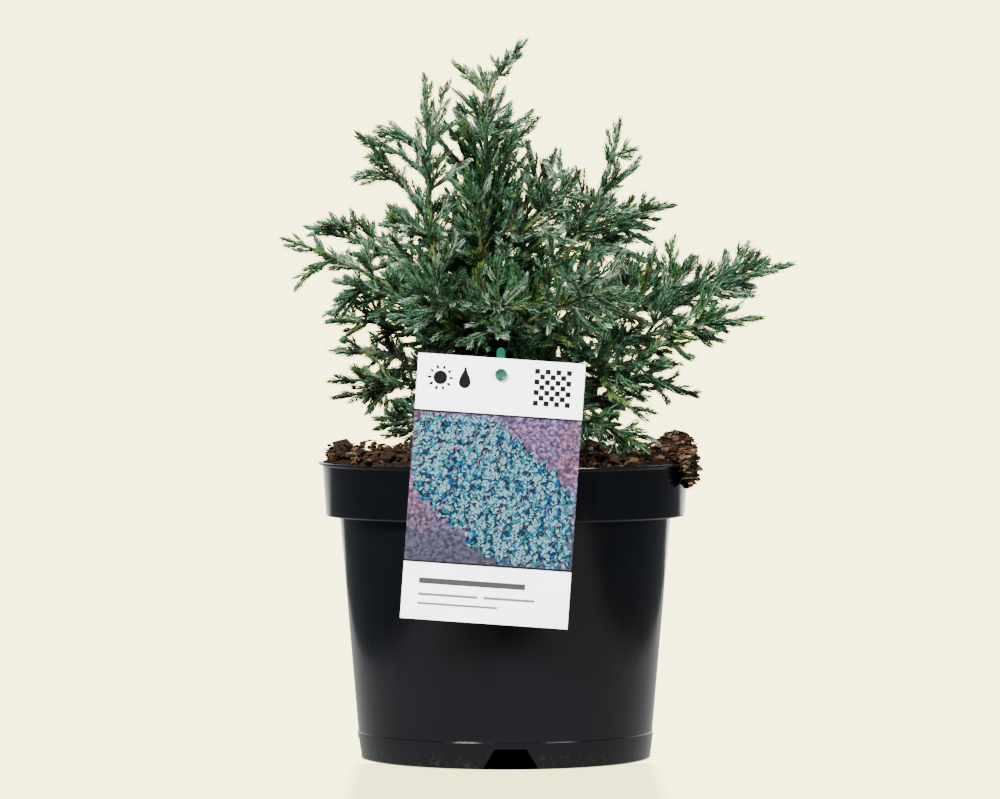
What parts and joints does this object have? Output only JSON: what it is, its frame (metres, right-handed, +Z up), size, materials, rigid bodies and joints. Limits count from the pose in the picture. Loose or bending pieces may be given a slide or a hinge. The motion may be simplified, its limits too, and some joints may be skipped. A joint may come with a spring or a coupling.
{
  "type": "potted conifer",
  "caption": "Young blue sawara cypress: feathery needle sprays on rising boughs, in a round black nursery pot with a picture label on a peg.",
  "frame": {"origin": "centre of the pot's flat underside, where the plant stands", "axes": "+Z up, -Y towards the label at the front, +X to the right seen from the front"},
  "size_m": [0.2559, 0.2001, 0.363],
  "materials": {
    "pot": "satin black, injection moulded",
    "soil": "damp peat and bark crumbs",
    "bark": "young brown bark, greener towards the tips",
    "foliage": "blue-green needles, paler underneath",
    "label": "printed card, white with a picture panel",
    "label_peg": "moulded green plastic"
  },
  "bodies": {
    "root": {"bough_back_left": "bark", "bough_back_left_skirt": "bark", "bough_back_middle": "bark", "bough_back_right": "bark", "bough_back_right_skirt": "bark", "bough_front_left": "bark", "bough_front_middle": "bark", "bough_front_right": "bark", "bough_front_right_low": "bark", "bough_left_crest": "bark", "bough_left_droop": "bark", "bough_left_high": "bark", "bough_left_long": "bark", "bough_left_lower": "bark", "bough_left_shelf": "bark", "bough_left_shoulder": "bark", "bough_left_skirt": "bark", "bough_left_spire": "bark", "bough_right_long": "bark", "bough_right_shelf": "bark", "bough_right_shoulder": "bark", "bough_right_skirt": "bark", "bough_right_spire": "bark", "foliage_back_crest": "foliage", "foliage_back_left": "foliage", "foliage_back_left_skirt": "foliage", "foliage_back_middle": "foliage", "foliage_back_right": "foliage", "foliage_back_right_skirt": "foliage", "foliage_front_left": "foliage", "foliage_front_left_crest": "foliage", "foliage_front_middle": "foliage", "foliage_front_right": "foliage", "foliage_front_right_crest": "foliage", "foliage_front_right_foot": "foliage", "foliage_front_right_low": "foliage", "foliage_leader": "foliage", "foliage_left_crest": "foliage", "foliage_left_droop": "foliage", "foliage_left_foot": "foliage", "foliage_left_high": "foliage", "foliage_left_long": "foliage", "foliage_left_lower": "foliage", "foliage_left_shelf": "foliage", "foliage_left_shoulder": "foliage", "foliage_left_skirt": "foliage", "foliage_left_spire": "foliage", "foliage_right_crest": "foliage", "foliage_right_foot": "foliage", "foliage_right_long": "foliage", "foliage_right_shelf": "foliage", "foliage_right_shoulder": "foliage", "foliage_right_skirt": "foliage", "foliage_right_spire": "foliage", "label": "label", "label_peg": "label_peg", "pot": "pot", "soil": "soil", "trunk": "bark"}
  },
  "joints": []
}
